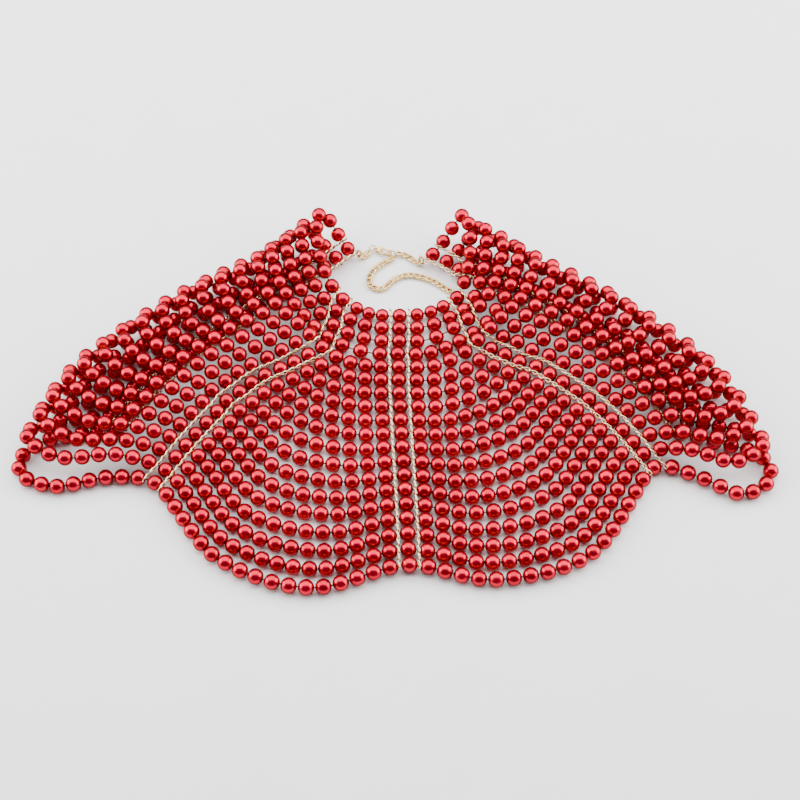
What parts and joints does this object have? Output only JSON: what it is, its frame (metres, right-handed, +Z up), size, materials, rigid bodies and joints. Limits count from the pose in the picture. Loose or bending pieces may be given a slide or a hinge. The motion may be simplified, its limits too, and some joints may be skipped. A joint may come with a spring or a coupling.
{
  "type": "beaded body chain",
  "caption": "Shoulder collar of strung imitation pearls held side by side by thin curb chains, closed at the neck by a sprung clasp on an extension chain.",
  "frame": {"origin": "middle of the whole outline, on the surface the collar lies on", "axes": "+X to the right as the collar lies, across both shoulders; +Y from the hem at the chest to the clasp at the neck; +Z up from the surface"},
  "size_m": [0.5125, 0.3093, 0.0309],
  "materials": {
    "red_pearl": "pearlescent gloss",
    "pale_gold": "polished pale gold plating"
  },
  "bodies": {
    "collar": {"string_01": "red_pearl", "string_02": "red_pearl", "string_03": "red_pearl", "string_04": "red_pearl", "string_05": "red_pearl", "string_06": "red_pearl", "string_07": "red_pearl", "string_08": "red_pearl", "string_09": "red_pearl", "string_10": "red_pearl", "string_11": "red_pearl", "string_12": "red_pearl", "string_13": "red_pearl", "string_14": "red_pearl", "string_15": "red_pearl", "string_16": "red_pearl", "string_17": "red_pearl", "string_18": "red_pearl", "string_19": "red_pearl", "centre_chain_a": "pale_gold", "centre_chain_b": "pale_gold", "left_front_seam_chain_a": "pale_gold", "left_front_seam_chain_b": "pale_gold", "right_front_seam_chain_a": "pale_gold", "right_front_seam_chain_b": "pale_gold", "left_back_seam_chain_a": "pale_gold", "left_back_seam_chain_b": "pale_gold", "right_back_seam_chain_a": "pale_gold", "right_back_seam_chain_b": "pale_gold", "closure_chain": "pale_gold", "extension_chain": "pale_gold", "extension_tail": "pale_gold", "clasp_body": "pale_gold", "jump_ring": "pale_gold", "hooked_link": "pale_gold"},
    "clasp_lever": {"clasp_lever": "pale_gold"}
  },
  "joints": [
    {"name": "clasp_lever_hinge", "type": "hinge", "parent": "collar", "child": "clasp_lever", "pos_m": [-0.01033, 0.13632, 0.00245], "axis": [0, 0, -1], "range_deg": [0, 16], "stiffness_Nm_per_rad": 0.004, "springref_deg": -17.19}
  ]
}
